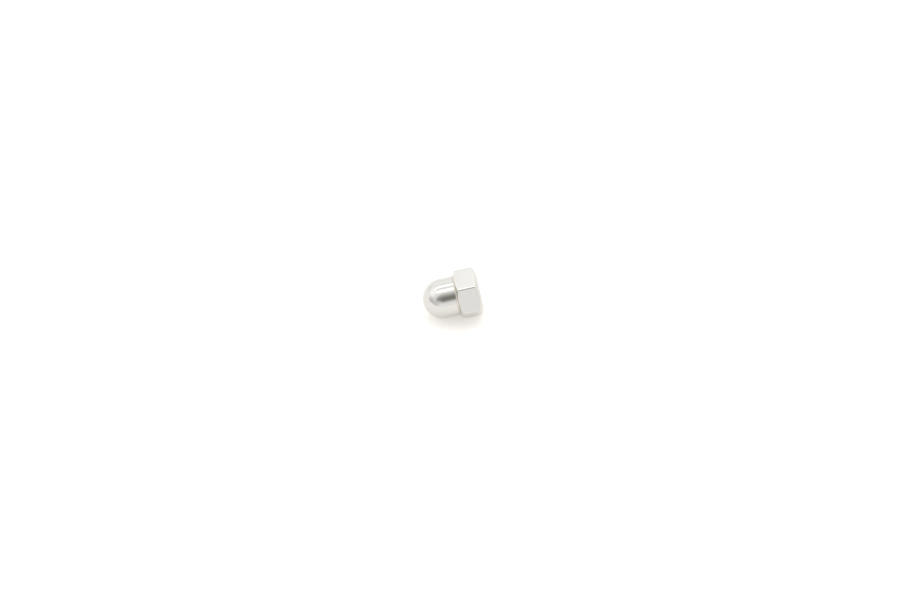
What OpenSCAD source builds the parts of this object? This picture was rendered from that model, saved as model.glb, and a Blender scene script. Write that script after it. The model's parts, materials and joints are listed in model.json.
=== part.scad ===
// Cap nut, also called an acorn nut: a hexagon with a closed dome over a blind threaded hole.
// It is turned from one bar, so it is one solid. Millimetres, +Z up from the surface it lies on.
//
// The nut is drawn standing on its bearing face with its axis along +Z. It is then laid down as it
// comes to rest: on the lower flat's edge and on the dome, with the thread's mouth towards +X.
// The origin is the centre of the bearing face, on the thread's axis.

/* [Hexagon] */
// Width across the flats
across_flats = 8; // [6.4:0.1:9.6]
// Height of the hexagon, from the bearing face to the shoulder round the dome
hex_height = 4; // [3:0.1:5.5]
// Radius that rounds off the ridges between the flats
ridge_radius = 0.35; // [0.05:0.05:0.8]
// Depth that the chamfer takes off the flats at the bearing face
bearing_inset = 0.5; // [0.1:0.05:0.8]
// Angle of the chamfer at each end of the hexagon, from the end face
chamfer_angle = 30; // [15:1:45]

/* [Dome] */
// Outer diameter of the dome
dome_diameter = 7.1; // [5.6:0.1:8.6]
// Height of the whole nut, from the bearing face to the top of the dome
overall_height = 10.2; // [8.7:0.1:12.6]
// Width of the flat shoulder between the dome and the hexagon's chamfer
shoulder_width = 0.4; // [0.1:0.05:0.6]
// Radius of the fillet at the foot of the dome
foot_fillet = 0.4; // [0.05:0.05:0.6]

/* [Thread] */
// Nominal diameter of the metric thread
thread_diameter = 5; // [4:0.1:6]
// Pitch of the thread
thread_pitch = 0.8; // [0.5:0.05:1]
// Metal left between the tip of the drilled hole and the top of the dome
crown_wall = 1.45; // [0.8:0.05:2.4]
// Included angle of the drill point at the bottom of the hole
drill_point_angle = 118; // [90:1:140]
// How much wider the countersunk mouth is than the thread
mouth_allowance = 0.3; // [0.1:0.05:0.6]
// Included angle of the countersink
countersink_angle = 90; // [60:1:120]

/* [Hidden] */
$fn = 96;

// Cuts run this far past the faces that they open
past = 1;

flat_r = across_flats / 2;
corner_r = flat_r / cos(30);
// The ridge circles' centres, on the lines to the hexagon's corners
ridge_centre_r = (flat_r - ridge_radius) / cos(30);
// The ridge circles stand proud of the flats by this little, so that they meet in clean edges
ridge_proud = 0.0001;
bearing_r = flat_r - bearing_inset;

dome_r = dome_diameter / 2;
dome_centre_z = overall_height - dome_r;
shoulder_r = dome_r + shoulder_width;
// The fillet ends where the shoulder does
fillet_r = min(foot_fillet, shoulder_width);

// Basic minor diameter of a metric internal thread, which is the size of the drilled hole
hole_r = (thread_diameter - 1.0825 * thread_pitch) / 2;
point_height = hole_r / tan(drill_point_angle / 2);
hole_depth = overall_height - crown_wall - point_height;
mouth_r = (thread_diameter + mouth_allowance) / 2;
countersink_depth = (mouth_r - hole_r) / tan(countersink_angle / 2);

// At rest the nut leans on the point of its lower flat that is nearest the dome
lean_z = hex_height - max(flat_r - shoulder_r, 0) * tan(chamfer_angle);
lean_to_centre = dome_centre_z - lean_z;
rest_tilt = acos(dome_r / norm([flat_r, lean_to_centre])) - atan2(lean_to_centre, flat_r);

// Hexagon with rounded corners and two of its flats square to X
module rounded_hexagon() {
    corners = [for (i = [0 : 5]) 60 * i + 30];
    polygon([for (a = corners, side = [-30, 30])
        ridge_centre_r * [cos(a), sin(a)] + ridge_radius * [cos(a + side), sin(a + side)]]);
    for (a = corners)
        translate(ridge_centre_r * [cos(a), sin(a)]) circle(r = ridge_radius + ridge_proud);
}

// Turned blank that leaves the chamfers: a cone at each end of the hexagon
module chamfered_blank() {
    rim_r = corner_r + past;
    rotate_extrude()
        polygon([
            [0, 0],
            [bearing_r, 0],
            [rim_r, (rim_r - bearing_r) * tan(chamfer_angle)],
            [rim_r, hex_height - (rim_r - shoulder_r) * tan(chamfer_angle)],
            [shoulder_r, hex_height],
            [0, hex_height]
        ]);
}

module hexagon() {
    intersection() {
        linear_extrude(height = hex_height) rounded_hexagon();
        chamfered_blank();
    }
}

// Short straight wall and half a ball, with a fillet down to the shoulder
module dome() {
    rotate_extrude() {
        translate([0, hex_height]) square([dome_r, dome_centre_z - hex_height]);
        translate([0, dome_centre_z])
            intersection() {
                circle(r = dome_r);
                square(dome_r + past);
            }
        translate([dome_r, hex_height])
            difference() {
                square(fillet_r);
                translate([fillet_r, fillet_r]) circle(r = fillet_r);
            }
    }
}

// Blind hole at the thread's minor diameter, with its drill point and its countersunk mouth
module threaded_hole() {
    translate([0, 0, -past]) cylinder(r = hole_r, h = hole_depth + past);
    translate([0, 0, hole_depth]) cylinder(r1 = hole_r, r2 = 0, h = point_height);
    cylinder(r1 = mouth_r, r2 = hole_r, h = countersink_depth);
}

module cap_nut() {
    color([0.78, 0.77, 0.74])
        rotate([0, -90 - rest_tilt, 0])
            difference() {
                union() {
                    hexagon();
                    dome();
                }
                threaded_hole();
            }
}

cap_nut();
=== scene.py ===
import json
import math

import bmesh
import bpy
from mathutils import Matrix, Vector


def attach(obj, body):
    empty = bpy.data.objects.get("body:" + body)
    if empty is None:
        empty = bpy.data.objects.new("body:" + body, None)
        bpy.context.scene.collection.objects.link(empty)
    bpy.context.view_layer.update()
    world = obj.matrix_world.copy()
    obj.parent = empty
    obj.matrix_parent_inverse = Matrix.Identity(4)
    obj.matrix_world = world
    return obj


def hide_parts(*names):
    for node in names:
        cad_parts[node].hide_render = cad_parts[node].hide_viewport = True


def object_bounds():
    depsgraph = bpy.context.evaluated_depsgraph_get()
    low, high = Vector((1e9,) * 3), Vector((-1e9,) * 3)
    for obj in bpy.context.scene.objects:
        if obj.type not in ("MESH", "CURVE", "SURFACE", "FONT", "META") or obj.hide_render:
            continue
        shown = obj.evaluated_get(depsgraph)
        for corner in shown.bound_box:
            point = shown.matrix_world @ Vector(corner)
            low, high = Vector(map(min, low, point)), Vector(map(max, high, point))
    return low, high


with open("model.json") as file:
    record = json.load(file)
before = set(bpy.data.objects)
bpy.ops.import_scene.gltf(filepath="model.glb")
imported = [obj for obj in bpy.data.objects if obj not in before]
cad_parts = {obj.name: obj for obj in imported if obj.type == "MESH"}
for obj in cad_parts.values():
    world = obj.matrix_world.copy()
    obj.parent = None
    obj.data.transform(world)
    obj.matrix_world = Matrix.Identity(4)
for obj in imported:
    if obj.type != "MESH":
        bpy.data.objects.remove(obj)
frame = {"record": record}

cadLow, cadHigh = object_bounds()
scene = bpy.context.scene
scene.view_settings.view_transform = "Standard"

# The nut is modelled in millimetres, standing on its bearing face with its axis along +Z.
# layDown then puts it where the frame has it, with the mouth of the thread towards +X.
mouthAxis = next(m["axis"] for m in frame["record"]["mounts"] if m["name"] == "thread")
restTilt = math.atan2(mouthAxis[2], mouthAxis[0])
layDown = Matrix.Rotation(-math.pi / 2 - restTilt, 4, "Y") @ Matrix.Scale(0.001, 4)

hexagon = {
    "acrossFlats": 8.0,
    "height": 4.0,
    "ridgeRadius": 0.35,  # rounds the ridges between the flats
    "bearingRadius": 3.5,
    "chamferSlope": math.tan(math.radians(30)),
    "bearingEdge": 0.1,  # these two soften the edges that the chamfers leave
    "chamferEdge": 0.09,
    "columns": 360,
    "crowding": 0.75,  # how strongly the columns gather at the ridges, from 0 to 1
    "ridgeWear": 1.6,  # over 1, so that the middle of each ridge is fully worn
}
dome = {
    "radius": 3.55,
    "top": 10.2,
    "shoulderRadius": 3.95,
    "shoulderEdge": 0.08,
    "footRadius": 0.375,
}
thread = {
    "majorRadius": 2.5,
    "minorRadius": 2.067,
    "pitch": 0.8,
    "crestWidth": 0.2,
    "rootWidth": 0.1,
    "crestEdge": 0.04,
    "rootEdge": 0.05,
    "columns": 144,
    "flankCuts": 6,
    "mouthRadius": 2.65,  # of the 90 degree countersink, at the bearing face
    "mouthEdge": 0.05,
    "mouthLip": 0.05,  # the outside's mesh reaches this far down the countersink
    "mouthBlend": 0.03,  # softens the edge where the countersink cuts the thread
    "joinDepth": 0.09,
    "fullDepth": 5.9,  # the thread is whole down to here
    "runOutDepth": 6.7,  # and has faded into the drilled wall here
    "drillDepth": 7.508,
    "tipDepth": 8.75,
}
meshing = {
    "merge": 0.00001,
    "threadMerge": 0.001,  # the turns of the thread meet within this
    "cutMerge": 0.000001,
    "hold": 0.05,  # distance of the rows that keep a flat stretch flat
    "longEdge": 0.6,  # edges longer than this are divided by so many cuts
    "longCuts": 3,
}

flatRadius = hexagon["acrossFlats"] / 2
ridgeAngle = math.radians(30)  # from a flat's middle to a ridge
ridgeCentre = (flatRadius - hexagon["ridgeRadius"]) / math.cos(ridgeAngle)
ridgeReach = ridgeCentre + hexagon["ridgeRadius"]
ridgeSpan = math.atan2(
    hexagon["ridgeRadius"] * math.sin(ridgeAngle),
    ridgeCentre + hexagon["ridgeRadius"] * math.cos(ridgeAngle),
)


def hexagonReach(fromRidge):
    # distance from the axis to the hexagon's side, at an angle from the nearest ridge
    fromRidge = abs(fromRidge)
    if fromRidge > ridgeSpan:
        return flatRadius / math.cos(ridgeAngle - fromRidge)
    across = ridgeCentre * math.sin(fromRidge)
    return ridgeCentre * math.cos(fromRidge) + math.sqrt(hexagon["ridgeRadius"] ** 2 - across**2)


def drawWire(bm, places):
    verts = [bm.verts.new((radius, 0, height)) for radius, height in places]
    for first, second in zip(verts, verts[1:]):
        bm.edges.new((first, second))
    return verts


def roundCorner(bm, corner, radius, segments):
    sides = [edge.other_vert(corner).co - corner.co for edge in corner.link_edges]
    turn = math.pi - sides[0].angle(sides[1])
    bmesh.ops.bevel(
        bm,
        geom=[corner],
        affect="VERTICES",
        offset_type="OFFSET",
        offset=radius * math.tan(turn / 2),
        segments=segments,
        profile=0.5,
        material=-1,
        clamp_overlap=False,
    )


def holdEdges(bm, edges, hold):
    # a row near each end of a long stretch keeps its shading flat
    added = []
    for edge in [e for e in edges if e.calc_length() > 4 * hold]:
        near, far = edge.verts
        split, vert = bmesh.utils.edge_split(edge, near, hold / edge.calc_length())
        longer = max(edge, split, key=lambda e: e.calc_length())
        split, other = bmesh.utils.edge_split(longer, far, hold / longer.calc_length())
        added += [vert, other]
    return added


def walkAlong(start):
    # the verts of an open wire, in order
    walked = [start]
    previous = None
    while True:
        onward = [e for e in walked[-1].link_edges if e is not previous]
        if not onward:
            return walked
        previous = onward[0]
        walked.append(previous.other_vert(walked[-1]))


def turnOutside(bm):
    slope = hexagon["chamferSlope"]
    chamferLow = (ridgeReach - hexagon["bearingRadius"]) * slope
    chamferHigh = hexagon["height"] - (ridgeReach - dome["shoulderRadius"]) * slope
    # radius, height, rounding, its segments, share of the hexagon's reach, slide along the axis
    corners = [
        (thread["mouthRadius"] - thread["mouthLip"], thread["mouthLip"], 0, 0, 0, 0),
        (thread["mouthRadius"], 0, thread["mouthEdge"], 5, 0, 0),
        (hexagon["bearingRadius"], 0, hexagon["bearingEdge"], 5, 0, 0),
        (ridgeReach, chamferLow, hexagon["chamferEdge"], 8, 1, 1),
        (ridgeReach, chamferHigh, hexagon["chamferEdge"], 8, 1, -1),
        (dome["shoulderRadius"], hexagon["height"], dome["shoulderEdge"], 5, 0, 0),
        (dome["radius"], hexagon["height"], dome["footRadius"], 12, 0, 0),
        (dome["radius"], dome["top"], dome["radius"], 46, 0, 0),
        (0, dome["top"], 0, 0, 0, 0),
    ]
    outward = bm.verts.layers.float.new("outward")
    slide = bm.verts.layers.float.new("slide")
    worn = bm.verts.layers.float.new("worn")
    nook = bm.verts.layers.float.new("nook")
    along = bm.verts.layers.float.new("along")
    drawn = bm.verts.layers.float.new("drawn")
    machined = bm.verts.layers.float.new("machined")
    verts = drawWire(bm, [corner[:2] for corner in corners])
    for vert, corner in zip(verts, corners):
        vert[outward], vert[slide] = corner[4:]
        vert[worn] = 1 if 0 < corner[2] <= hexagon["bearingEdge"] else 0
        vert[nook] = 1 if corner[2] == dome["footRadius"] else 0
    for vert, corner in zip(verts[1:-1], corners[1:-1]):
        roundCorner(bm, vert, corner[2], corner[3])
    bmesh.ops.remove_doubles(bm, verts=bm.verts, dist=meshing["merge"])
    for vert in holdEdges(bm, bm.edges, meshing["hold"]):
        vert[worn] = 0
        vert[nook] = 0
    long = [e for e in bm.edges if e.calc_length() > meshing["longEdge"]]
    bmesh.ops.subdivide_edges(bm, edges=long, cuts=meshing["longCuts"])

    start = max((v for v in bm.verts if len(v.link_edges) == 1), key=lambda v: v.co.x)
    length = 0
    chain = walkAlong(start)
    for before, vert in zip(chain, chain[1:]):
        length += (vert.co - before.co).length
        vert[along] = length

    bmesh.ops.spin(
        bm,
        geom=bm.verts[:] + bm.edges[:],
        cent=(0, 0, 0),
        axis=(0, 0, 1),
        angle=math.tau,
        steps=hexagon["columns"],
        use_merge=True,
    )
    bmesh.ops.remove_doubles(bm, verts=bm.verts, dist=meshing["merge"])

    # the turned blank is moved in to the six flats, and each chamfer slides down its own cone
    wallFade = dome["top"] - dome["radius"] - hexagon["height"]
    for vert in bm.verts:
        radius = math.hypot(vert.co.x, vert.co.y)
        if radius < meshing["merge"]:
            continue
        angle = math.atan2(vert.co.y, vert.co.x)
        fromRidge = (angle % (2 * ridgeAngle)) - ridgeAngle
        up = min(max((vert.co.z - hexagon["height"]) / wallFade, 0), 1)
        crowd = hexagon["crowding"] * (1 - up)
        shift = -crowd / 6 * math.sin(6 * fromRidge)
        angle += shift
        fromRidge += shift
        shrink = hexagonReach(fromRidge) - ridgeReach
        radius += vert[outward] * shrink
        vert.co.z += vert[slide] * shrink * slope
        vert.co.x = radius * math.cos(angle)
        vert.co.y = radius * math.sin(angle)
        if vert[outward] > 0.99 and vert[worn] < 0.5:
            onRidge = 1 - min(abs(fromRidge) / ridgeSpan, 1)
            vert[drawn] = 1
            vert[worn] = min(hexagon["ridgeWear"] * onRidge, 1)
        elif radius > dome["shoulderRadius"] or vert.co.z < hexagon["bearingEdge"]:
            vert[machined] = 1
    bm.verts.layers.float.remove(bm.verts.layers.float["outward"])
    bm.verts.layers.float.remove(bm.verts.layers.float["slide"])
    print("outside turned:", len(bm.verts), "verts")


def cutThread(bm):
    crest, root, pitch = thread["minorRadius"], thread["majorRadius"], thread["pitch"]
    flank = (pitch - thread["crestWidth"] - thread["rootWidth"]) / 2
    # the thread's profile starts outside the mouth and ends below the run-out
    places = []
    height = -1.5 * pitch
    while height < thread["runOutDepth"] + pitch:
        places.append((crest, height))
        places.append((crest, height + thread["crestWidth"]))
        places.append((root, height + thread["crestWidth"] + flank))
        places.append((root, height + pitch - flank))
        height += pitch
    places.append((crest, height))

    cutter = bmesh.new()
    verts = drawWire(cutter, places)
    for vert in verts[1:-1]:
        edge = thread["crestEdge"] if vert.co.x < (crest + root) / 2 else thread["rootEdge"]
        roundCorner(cutter, vert, edge, 4)
    steep = (root - crest) / 2
    flanks = [e for e in cutter.edges if abs(e.verts[0].co.x - e.verts[1].co.x) > steep]
    bmesh.ops.subdivide_edges(cutter, edges=flanks, cuts=thread["flankCuts"])
    bmesh.ops.spin(
        cutter,
        geom=cutter.verts[:] + cutter.edges[:],
        cent=(0, 0, 0),
        axis=(0, 0, 1),
        dvec=(0, 0, pitch / thread["columns"]),
        angle=math.tau,
        steps=thread["columns"],
        use_merge=False,
    )
    bmesh.ops.remove_doubles(cutter, verts=cutter.verts, dist=meshing["threadMerge"])

    # the thread fades out at the bottom, and the countersink cuts it away at the mouth
    fade = thread["runOutDepth"] - thread["fullDepth"]
    blend = thread["mouthBlend"]
    for vert in cutter.verts:
        radius = math.hypot(vert.co.x, vert.co.y)
        left = min(max((thread["runOutDepth"] - vert.co.z) / fade, 0), 1)
        wanted = crest + (radius - crest) * left * left * (3 - 2 * left)
        cone = thread["mouthRadius"] - vert.co.z
        overlap = max(blend - abs(wanted - cone), 0) / blend
        wanted = max(wanted, cone) + overlap * overlap * blend / 4
        vert.co.x *= wanted / radius
        vert.co.y *= wanted / radius
    for depth, mouthSide in ((thread["joinDepth"], True), (thread["runOutDepth"], False)):
        bmesh.ops.bisect_plane(
            cutter,
            geom=cutter.verts[:] + cutter.edges[:] + cutter.faces[:],
            dist=meshing["cutMerge"],
            plane_co=(0, 0, depth),
            plane_no=(0, 0, 1),
            clear_outer=not mouthSide,
            clear_inner=mouthSide,
        )

    # below the thread the drilled hole goes on plain, to the cone of the drill's point
    rim = [e for e in cutter.edges if e.is_boundary and e.verts[0].co.z > thread["fullDepth"]]
    for depth, scale in ((thread["drillDepth"], 1), (thread["tipDepth"], 0)):
        made = bmesh.ops.extrude_edge_only(cutter, edges=rim)["geom"]
        rim = [g for g in made if isinstance(g, bmesh.types.BMEdge)]
        for vert in [g for g in made if isinstance(g, bmesh.types.BMVert)]:
            vert.co = (vert.co.x * scale, vert.co.y * scale, depth)
    bmesh.ops.remove_doubles(cutter, verts=cutter.verts, dist=meshing["merge"])

    whole = bpy.data.meshes.new("threadCut")
    cutter.to_mesh(whole)
    cutter.free()
    bm.from_mesh(whole)
    bpy.data.meshes.remove(whole)
    print("thread cut:", len(bm.verts), "verts in all")


def makeNut():
    bm = bmesh.new()
    turnOutside(bm)
    cutThread(bm)
    bored = bm.verts.layers.float.new("bored")
    for vert in bm.verts:
        within = math.hypot(vert.co.x, vert.co.y) < thread["mouthRadius"]
        deep = thread["joinDepth"] / 2 < vert.co.z <= thread["tipDepth"]
        vert[bored] = 1 if within and deep else 0
    bmesh.ops.bridge_loops(bm, edges=[e for e in bm.edges if e.is_boundary])
    bmesh.ops.remove_doubles(bm, verts=bm.verts, dist=meshing["merge"])
    bmesh.ops.transform(bm, matrix=layDown, verts=bm.verts)
    bmesh.ops.recalc_face_normals(bm, faces=bm.faces)
    for face in bm.faces:
        face.smooth = True
    mesh = bpy.data.meshes.new("capNutTurned")
    bm.to_mesh(mesh)
    bm.free()
    nut = bpy.data.objects.new("cap_nut_turned", mesh)
    scene.collection.objects.link(nut)
    print("nut made:", len(mesh.vertices), "verts,", len(mesh.polygons), "faces")
    return nut


def addNode(tree, kind, place, **settings):
    node = tree.nodes.new(kind)
    node.location = place
    for name, value in settings.items():
        setattr(node, name, value)
    return node


def calculate(tree, place, operation, *values):
    # a Math node; each value is a number or the socket that feeds it
    node = addNode(tree, "ShaderNodeMath", place, operation=operation)
    for socket, value in zip(node.inputs, values):
        if isinstance(value, (int, float)):
            socket.default_value = value
        else:
            tree.links.new(value, socket)
    return node.outputs[0]


def spread(tree, place, value, low, high, toLow, toHigh, soft=False):
    node = addNode(tree, "ShaderNodeMapRange", place)
    node.interpolation_type = "SMOOTHSTEP" if soft else "LINEAR"
    tree.links.new(value, node.inputs["Value"])
    node.inputs["From Min"].default_value = low
    node.inputs["From Max"].default_value = high
    node.inputs["To Min"].default_value = toLow
    node.inputs["To Max"].default_value = toHigh
    return node.outputs["Result"]


def noise(tree, place, vector, stretch, detail, roughness=0.5):
    # noise on coordinates that are stretched first, so many to the millimetre
    scaled = addNode(tree, "ShaderNodeVectorMath", place, operation="MULTIPLY")
    tree.links.new(vector, scaled.inputs[0])
    scaled.inputs[1].default_value = stretch
    node = addNode(tree, "ShaderNodeTexNoise", (place[0] + 180, place[1]))
    node.inputs["Scale"].default_value = 1
    node.inputs["Detail"].default_value = detail
    node.inputs["Roughness"].default_value = roughness
    tree.links.new(scaled.outputs[0], node.inputs["Vector"])
    return node.outputs["Fac"]


def blendColors(tree, place, factor, first, second):
    node = addNode(tree, "ShaderNodeMix", place, data_type="RGBA")
    tree.links.new(factor, node.inputs["Factor"])
    for name, value in (("A", first), ("B", second)):
        if isinstance(value, tuple):
            node.inputs[name].default_value = value
        else:
            tree.links.new(value, node.inputs[name])
    return node.outputs["Result"]


def attribute(tree, place, name):
    return addNode(tree, "ShaderNodeAttribute", place, attribute_name=name).outputs["Fac"]


steelFinish = {
    "color": (0.645, 0.637, 0.610, 1),
    "paintedShadeColor": (0.56, 0.505, 0.435, 1),  # painted shade, darker and browner, in the corner at the dome's foot and in the threaded hole
    "roughness": 0.08,
    "smudge": 0.05,  # how far the roughness wanders
    "drawnRoughness": 0.06,  # these add to it
    "machinedRoughness": 0.14,
    "boredRoughness": 0.16,
    "wornRoughness": 0.05,
    "scratchRoughness": 0.05,
    "boredShade": 0.5,  # how strong the painted shade is in the threaded hole, against 1 in the corner
    "ringHeight": 0.0000009,  # the reliefs are in metres
    "facingHeight": 0.0000035,
    "lineHeight": 0.0000016,
    "scratchHeight": 0.0000005,
    "ringGrain": (0.2, 0.2, 11),  # each grain is how many to the millimetre along X, Y and Z
    "lineGrain": (9, 9, 0.3),
    "smudgeGrain": (0.45, 0.45, 0.45),
    "scratchGrains": ((0.7, 13, 3.1), (12, 0.9, 5.5), (6, 9, 0.5)),
    "grainDetail": 3,
    "grainRoughness": 0.6,
    "scratchDetail": 2,
    "scratchRange": (0.63, 0.70),  # a scratch starts and is whole at these levels of its noise
    "smudgeRange": (0.3, 0.7),
    "paintedShadeRange": (0.4, 0.9),  # how patchy the painted shade is
}


def makeSteel():
    steel = bpy.data.materials.new("polishedSteel")
    steel.use_nodes = True
    tree = steel.node_tree
    tree.nodes.clear()
    output = addNode(tree, "ShaderNodeOutputMaterial", (1700, 0))
    shader = addNode(tree, "ShaderNodeBsdfPrincipled", (1400, 0))
    shader.inputs["Metallic"].default_value = 1
    tree.links.new(shader.outputs[0], output.inputs["Surface"])

    # coordinates in millimetres, with Z along the nut's axis
    place = addNode(tree, "ShaderNodeTexCoord", (-1600, 0))
    upright = addNode(tree, "ShaderNodeMapping", (-1400, 0), vector_type="POINT")
    upright.inputs["Rotation"].default_value = (0, math.pi / 2 + restTilt, 0)
    upright.inputs["Scale"].default_value = (1000, 1000, 1000)
    tree.links.new(place.outputs["Object"], upright.inputs["Vector"])
    point = upright.outputs["Vector"]
    drawn, machined, bored, nook, worn, along = [
        attribute(tree, (-1400, 900 - 150 * row), name)
        for row, name in enumerate(("drawn", "machined", "bored", "nook", "worn", "along"))
    ]

    # turned rings follow the length of the profile, so they circle the axis everywhere
    split = addNode(tree, "ShaderNodeSeparateXYZ", (-1200, -300))
    tree.links.new(point, split.inputs[0])
    ringPlace = addNode(tree, "ShaderNodeCombineXYZ", (-1000, -300))
    tree.links.new(split.outputs["X"], ringPlace.inputs["X"])
    tree.links.new(split.outputs["Y"], ringPlace.inputs["Y"])
    tree.links.new(along, ringPlace.inputs["Z"])
    detail, grit = steelFinish["grainDetail"], steelFinish["grainRoughness"]
    ringPoint = ringPlace.outputs[0]
    rings = noise(tree, (-800, -300), ringPoint, steelFinish["ringGrain"], detail, grit)
    lines = noise(tree, (-800, -500), point, steelFinish["lineGrain"], detail, grit)
    smudge = noise(tree, (-800, 300), point, steelFinish["smudgeGrain"], detail)
    scratches = []
    for number, grain in enumerate(steelFinish["scratchGrains"]):
        row = -700 - 200 * number
        grained = noise(tree, (-800, row), point, grain, steelFinish["scratchDetail"])
        scratches.append(spread(tree, (-400, row), grained, *steelFinish["scratchRange"], 0, 1))
    scratched = calculate(tree, (-200, -900), "MAXIMUM", scratches[1], scratches[2])
    scratched = calculate(tree, (-50, -800), "MAXIMUM", scratches[0], scratched)

    low = steelFinish["roughness"] - steelFinish["smudge"] / 2
    high = steelFinish["roughness"] + steelFinish["smudge"] / 2
    rough = spread(tree, (-400, 300), smudge, *steelFinish["smudgeRange"], low, high)
    zones = (
        (drawn, "drawnRoughness"),
        (machined, "machinedRoughness"),
        (bored, "boredRoughness"),
        (worn, "wornRoughness"),
        (nook, "wornRoughness"),
        (scratched, "scratchRoughness"),
    )
    for number, (zone, name) in enumerate(zones):
        spot = (-200 + 150 * number, 300)
        rough = calculate(tree, spot, "MULTIPLY_ADD", zone, steelFinish[name], rough)
    tree.links.new(rough, shader.inputs["Roughness"])

    # painted shade: the base colour darkens and browns in the corner at the dome's foot and, at
    # half strength, in the threaded hole
    shadeZones = calculate(tree, (-150, 650), "MULTIPLY", bored, steelFinish["boredShade"])
    shadeZones = calculate(tree, (0, 700), "MAXIMUM", nook, shadeZones)
    patchy = spread(tree, (0, 550), smudge, *steelFinish["smudgeRange"], *steelFinish["paintedShadeRange"])
    shadeAmount = calculate(tree, (150, 700), "MULTIPLY", shadeZones, patchy)
    tint = blendColors(tree, (400, 600), shadeAmount, steelFinish["color"], steelFinish["paintedShadeColor"])
    tree.links.new(tint, shader.inputs["Base Color"])

    # relief: rings where it was turned, deeper on the cut faces, and drawn lines on the flats
    turned = calculate(tree, (-200, -300), "SUBTRACT", 1, drawn)
    normal = None
    reliefs = (
        (calculate(tree, (0, -300), "MULTIPLY", rings, turned), "ringHeight"),
        (calculate(tree, (0, -450), "MULTIPLY", rings, machined), "facingHeight"),
        (calculate(tree, (0, -600), "MULTIPLY", lines, drawn), "lineHeight"),
        (scratched, "scratchHeight"),
    )
    for number, (height, name) in enumerate(reliefs):
        bump = addNode(tree, "ShaderNodeBump", (300 + 200 * number, -300 - 100 * number))
        bump.inputs["Strength"].default_value = 1
        bump.inputs["Distance"].default_value = steelFinish[name]
        tree.links.new(height, bump.inputs["Height"])
        if normal:
            tree.links.new(normal, bump.inputs["Normal"])
        normal = bump.outputs["Normal"]
    tree.links.new(normal, shader.inputs["Normal"])
    return steel


nut = makeNut()
nut.data.materials.append(makeSteel())
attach(nut, "root")
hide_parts("cap_nut")

floorLook = {
    "size": 2.0,
    "color": (0.69, 0.69, 0.695, 1),
    "roughness": 0.9,
    "glow": (0.43, 0.411, 0.375, 1),  # a light table, lit faintly from below
}


def makeFloor():
    bm = bmesh.new()
    bmesh.ops.create_grid(bm, x_segments=1, y_segments=1, size=floorLook["size"] / 2)
    bmesh.ops.translate(bm, vec=(0, 0, cadLow.z), verts=bm.verts)
    mesh = bpy.data.meshes.new("tableTop")
    bm.to_mesh(mesh)
    bm.free()
    floor = bpy.data.objects.new("floor", mesh)
    scene.collection.objects.link(floor)
    paper = bpy.data.materials.new("whitePaper")
    paper.use_nodes = True
    shader = paper.node_tree.nodes["Principled BSDF"]
    shader.inputs["Base Color"].default_value = floorLook["color"]
    shader.inputs["Roughness"].default_value = floorLook["roughness"]
    shader.inputs["Specular IOR Level"].default_value = 0
    shader.inputs["Emission Color"].default_value = floorLook["glow"]
    shader.inputs["Emission Strength"].default_value = 1
    mesh.materials.append(paper)


makeFloor()
print("floor at", cadLow.z)

# A white tent with two long strip lights overhead and an opening in front that stays dark.
# Each list of pairs holds angles in degrees, with the level at each.
tent = {
    "bands": (  # brightness by the angle from straight up towards the front
        (-180, 1.2), (-78, 1.2), (-60, 1.3), (-48, 1.17), (-38, 1.25), (-34, 2.9), (-31, 2.9),
        (-26, 1.3), (-18, 1.05), (-11, 1.25), (-7, 2.8), (-2, 2.8), (4, 1.4), (10, 1.14),
        (80, 1.12), (90, 1.17), (180, 1.2),
    ),
    # how open the front is: by the same angle, by the height above level, and by the turn
    # from the middle of the left wall towards the front
    "openingTop": ((4, 0), (10, 0.03), (16, 0.32), (24, 0.62), (34, 0.88), (44, 1)),
    "openingFoot": ((13, 0), (20, 0.13), (26, 0.42), (32, 0.80), (38, 0.95), (46, 1)),
    "openingSide": ((30, 0), (42, 0.70), (60, 0.85), (90, 1)),
    "leftWall": (  # brightness by that turn
        (-90, 1.18), (-65, 1.2), (-50, 1.32), (-35, 1.42), (-20, 1.46), (-5, 1.36), (10, 1.18),
        (25, 1.0), (40, 0.97), (90, 1.1),
    ),
    "dark": (0.205, 0.190, 0.170, 1),  # what the opening leaves of the light
    "leftEnd": (-0.40, -0.62),  # the bands fade into each end wall between these, along X
    "leftLow": 0.84,  # how far the left wall dims towards the table
    "wallRise": (0.2, 0.5),  # the heights, as sines, between which both end walls brighten
    "rightEnd": (0.50, 0.85),
    "rightWall": (0.45, 1.55),  # brightness low down and high up
    "slot": (-0.975, -0.137, 0.174),  # a dull gap low in the left wall
    "slotEdge": (0.94, 0.997),  # its edge fades between these cosines
    "slotLevel": 0.78,
    "backdrop": (1.1, 1.1, 1.1, 1),
}


def levels(tree, place, angle, stops):
    # looks an angle up in a list of levels, smoothly
    turn = spread(tree, place, angle, -math.pi, math.pi, 0, 1)
    ramp = addNode(tree, "ShaderNodeValToRGB", (place[0] + 200, place[1]))
    tree.links.new(turn, ramp.inputs[0])
    ramp.color_ramp.interpolation = "EASE"
    marks = ramp.color_ramp.elements
    marks.remove(marks[1])
    for number, (degrees, level) in enumerate(stops):
        position = (degrees + 180) / 360
        mark = marks.new(position) if number else marks[0]
        mark.position = position
        mark.color = (level, level, level, 1)
    return ramp.outputs["Color"]


def scaleColor(tree, place, color, amount):
    node = addNode(tree, "ShaderNodeVectorMath", place, operation="SCALE")
    tree.links.new(color, node.inputs[0])
    tree.links.new(amount, node.inputs["Scale"])
    return node.outputs[0]


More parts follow.
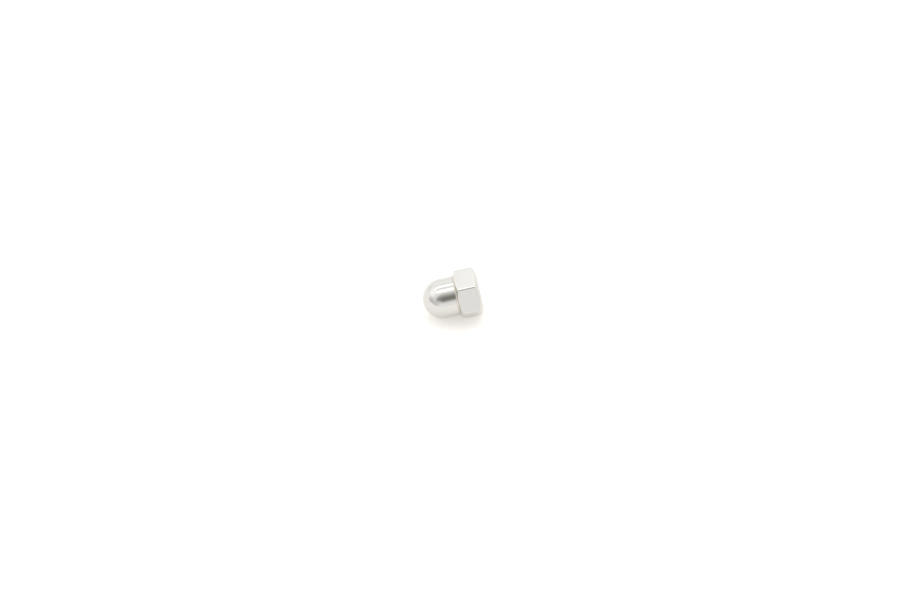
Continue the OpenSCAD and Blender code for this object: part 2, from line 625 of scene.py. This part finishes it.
def lightTent():
    world = bpy.data.worlds.new("lightTent")
    scene.world = world
    world.use_nodes = True
    tree = world.node_tree
    background = tree.nodes["Background"]
    direction = addNode(tree, "ShaderNodeTexCoord", (-1600, 0)).outputs["Generated"]
    split = addNode(tree, "ShaderNodeSeparateXYZ", (-1400, 0))
    tree.links.new(direction, split.inputs[0])
    side, depth, height = split.outputs

    toFront = calculate(tree, (-1200, 0), "MULTIPLY", depth, -1)
    toLeft = calculate(tree, (-1200, -200), "MULTIPLY", side, -1)
    over = calculate(tree, (-1050, 0), "ARCTAN2", toFront, height)
    around = calculate(tree, (-1050, -200), "ARCTAN2", toFront, toLeft)

    low = spread(tree, (-900, -400), height, *tent["wallRise"], tent["leftLow"], 1, soft=True)
    leftWall = levels(tree, (-900, -200), around, tent["leftWall"])
    leftWall = scaleColor(tree, (-500, -200), leftWall, low)
    leftEnd = spread(tree, (-700, -400), side, *tent["leftEnd"], 0, 1, soft=True)
    bands = levels(tree, (-900, 0), over, tent["bands"])
    look = blendColors(tree, (-300, 0), leftEnd, bands, leftWall)

    rise = calculate(tree, (-1050, 800), "ARCSINE", height)
    top = levels(tree, (-900, 400), over, tent["openingTop"])
    sides = levels(tree, (-900, 600), around, tent["openingSide"])
    foot = levels(tree, (-900, 800), rise, tent["openingFoot"])
    opened = calculate(tree, (-450, 400), "MULTIPLY", top, sides)
    opened = calculate(tree, (-300, 400), "MULTIPLY", opened, foot)
    shade = blendColors(tree, (-100, 400), opened, (1, 1, 1, 1), tent["dark"])
    shaded = addNode(tree, "ShaderNodeVectorMath", (0, 0), operation="MULTIPLY")
    tree.links.new(look, shaded.inputs[0])
    tree.links.new(shade, shaded.inputs[1])

    rightWall = spread(tree, (-900, -800), height, *tent["wallRise"], *tent["rightWall"], soft=True)
    rightEnd = spread(tree, (-700, -800), side, *tent["rightEnd"], 0, 1, soft=True)
    look = blendColors(tree, (200, 0), rightEnd, shaded.outputs[0], rightWall)

    toSlot = addNode(tree, "ShaderNodeVectorMath", (-900, -1000), operation="DOT_PRODUCT")
    tree.links.new(direction, toSlot.inputs[0])
    toSlot.inputs[1].default_value = tent["slot"]
    near = toSlot.outputs["Value"]
    gap = spread(tree, (-700, -1000), near, *tent["slotEdge"], 1, tent["slotLevel"], soft=True)
    look = scaleColor(tree, (400, 0), look, gap)

    # what is seen past the floor's far edge is a plain pale backdrop
    rays = addNode(tree, "ShaderNodeLightPath", (400, 300))
    direct = rays.outputs["Is Camera Ray"]
    seen = blendColors(tree, (600, 0), direct, look, tent["backdrop"])
    tree.links.new(seen, background.inputs["Color"])


lightTent()
print("tent lit")

shot = {
    "azimuth": math.radians(-9.0),
    "elevation": math.radians(50),
    "lens": 150,
    "sensor": 36,
    "clip": (0.01, 10),
    "widthSeen": 0.1588,  # at the nut, across the frame
    "right": -0.005200,  # from the bearing face's centre to the middle of the frame
    "up": -0.001730,
}


def setCamera():
    camera = bpy.data.cameras.new("shot")
    camera.lens = shot["lens"]
    camera.sensor_width = shot["sensor"]
    turn, lift = shot["azimuth"], shot["elevation"]
    right = Vector((math.cos(turn), math.sin(turn), 0))
    back = Vector(
        (math.sin(turn) * math.cos(lift), -math.cos(turn) * math.cos(lift), math.sin(lift))
    )
    up = back.cross(right)
    aim = right * shot["right"] + up * shot["up"]
    holder = bpy.data.objects.new("shot", camera)
    scene.collection.objects.link(holder)
    holder.location = aim + back * shot["widthSeen"] * shot["lens"] / camera.sensor_width
    holder.rotation_euler = back.to_track_quat("Z", "Y").to_euler()
    camera.clip_start, camera.clip_end = shot["clip"]
    scene.camera = holder


setCamera()
